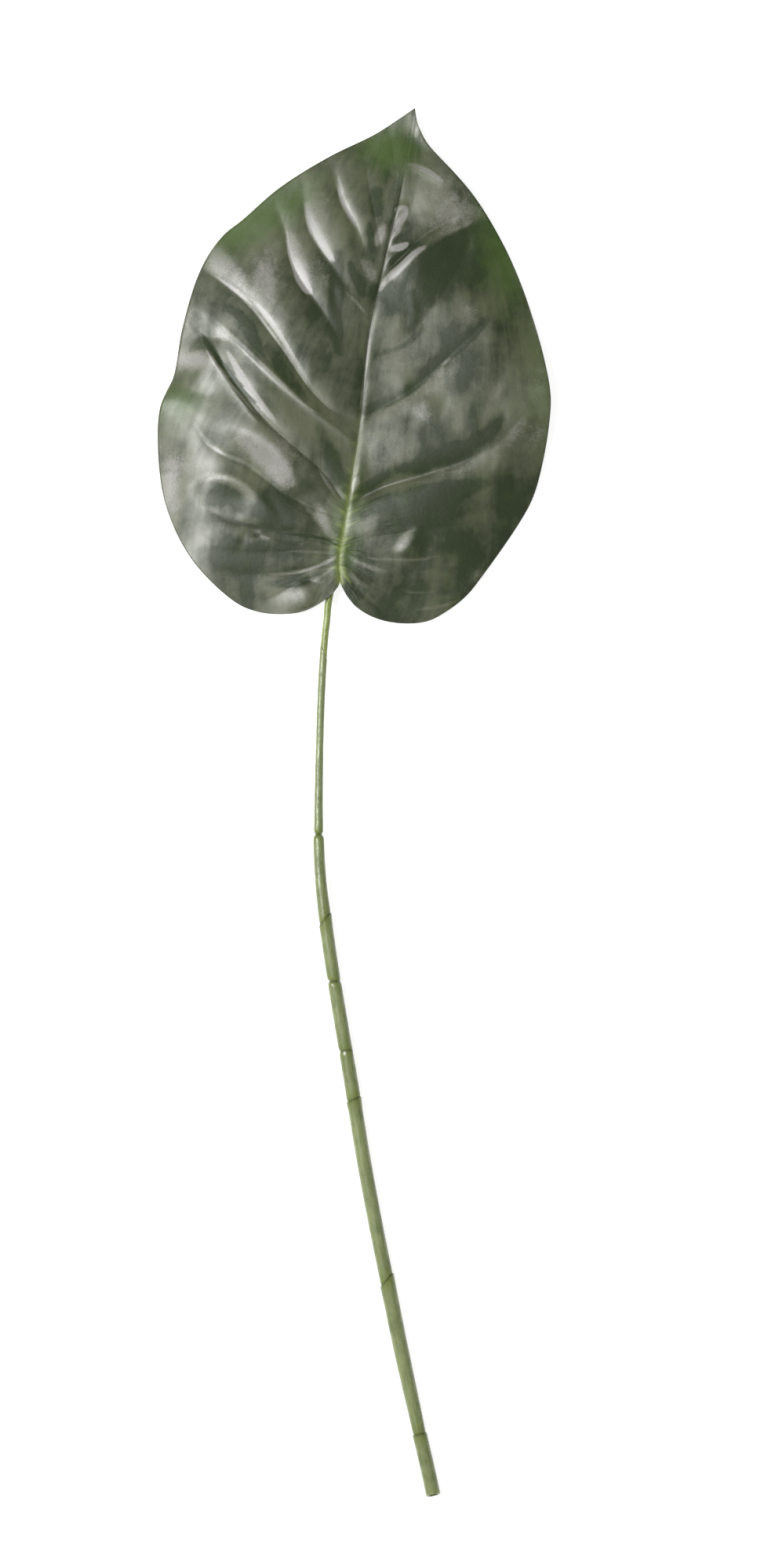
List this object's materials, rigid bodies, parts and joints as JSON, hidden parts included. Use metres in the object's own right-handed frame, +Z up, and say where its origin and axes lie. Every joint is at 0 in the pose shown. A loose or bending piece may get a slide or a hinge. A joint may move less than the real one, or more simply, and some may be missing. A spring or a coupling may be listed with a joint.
{
  "type": "artificial hosta leaf",
  "caption": "Artificial hosta leaf: a heart-shaped pressed cloth blade on a slim moulded petiole and a long jointed plastic stem.",
  "frame": {"origin": "on the surface the leaf lies on, below the middle of its bounding box", "axes": "+Y from the stem's cut end towards the leaf's tip, +Z up, out of the leaf's face, +X to the right of the leaf as seen from above"},
  "size_m": [0.1979, 0.6992, 0.0203],
  "materials": {
    "leaf_cloth": "satin",
    "petiole_plastic": "semi-gloss",
    "stem_plastic": "semi-gloss"
  },
  "bodies": {
    "root": {"leaf_blade": "leaf_cloth", "petiole": "petiole_plastic", "stem": "stem_plastic"}
  },
  "joints": []
}
